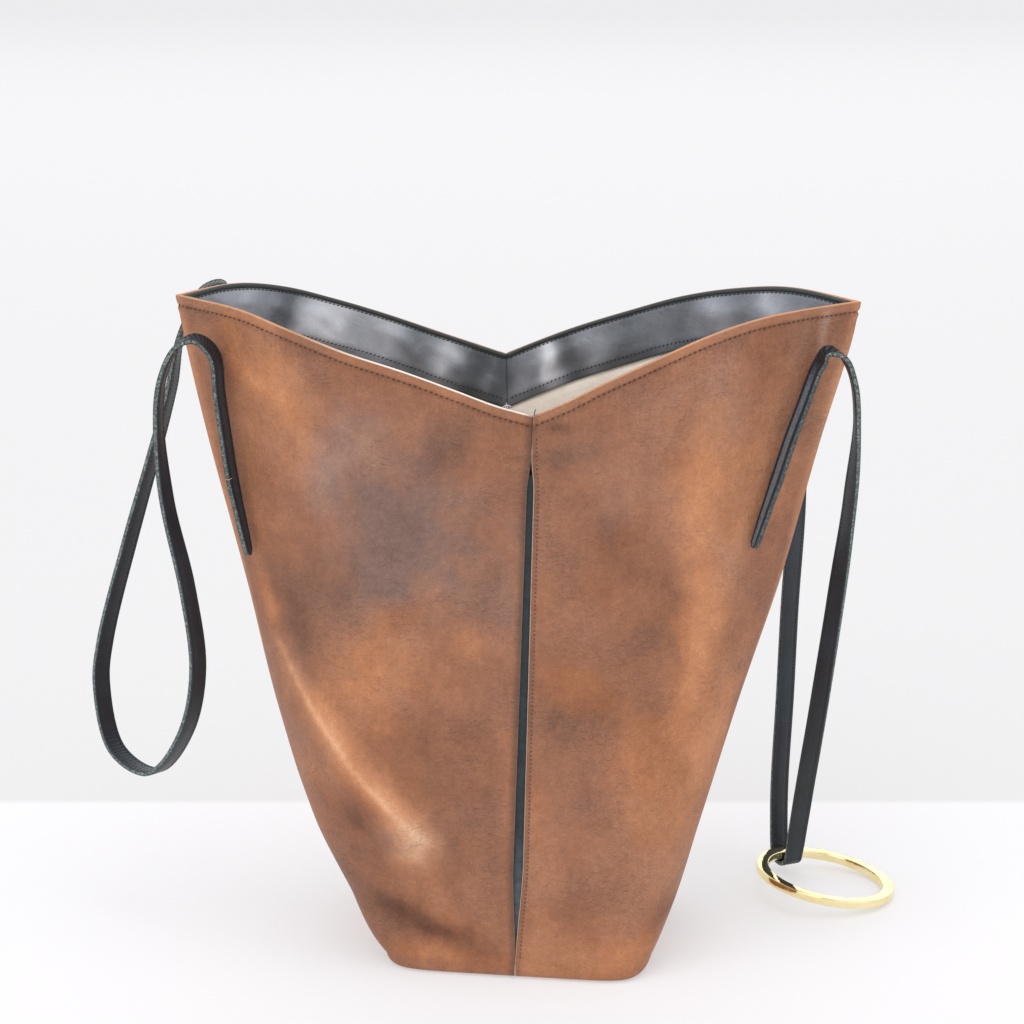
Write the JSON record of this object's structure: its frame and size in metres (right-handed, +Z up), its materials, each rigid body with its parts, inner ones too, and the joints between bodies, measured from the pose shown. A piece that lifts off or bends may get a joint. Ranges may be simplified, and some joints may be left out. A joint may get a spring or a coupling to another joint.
{
  "type": "tote bag",
  "caption": "Soft open-topped leather tote bag with a pointed, notched rim, a slit front seam, strap loops at both sides and a metal ring on one strap.",
  "frame": {"origin": "middle of the flat bottom, on the surface that the bag stands on", "axes": "+X to the right seen from the front, +Y from the front to the back, +Z up"},
  "size_m": [0.4872, 0.1816, 0.394],
  "materials": {
    "tan_leather": "waxed pull-up leather, semi matt with soft highlights",
    "dark_leather": "smooth blue-black leather, satin",
    "cream_cotton": "plain woven cotton, matt",
    "ring_metal": "polished, pale gold colour"
  },
  "bodies": {
    "root": {"left_panel": "tan_leather", "right_panel": "tan_leather", "facing_left": "dark_leather", "facing_right": "dark_leather", "seam_strip": "dark_leather", "lining": "cream_cotton", "left_strap": "dark_leather", "right_strap": "dark_leather", "ring": "ring_metal"}
  },
  "joints": []
}
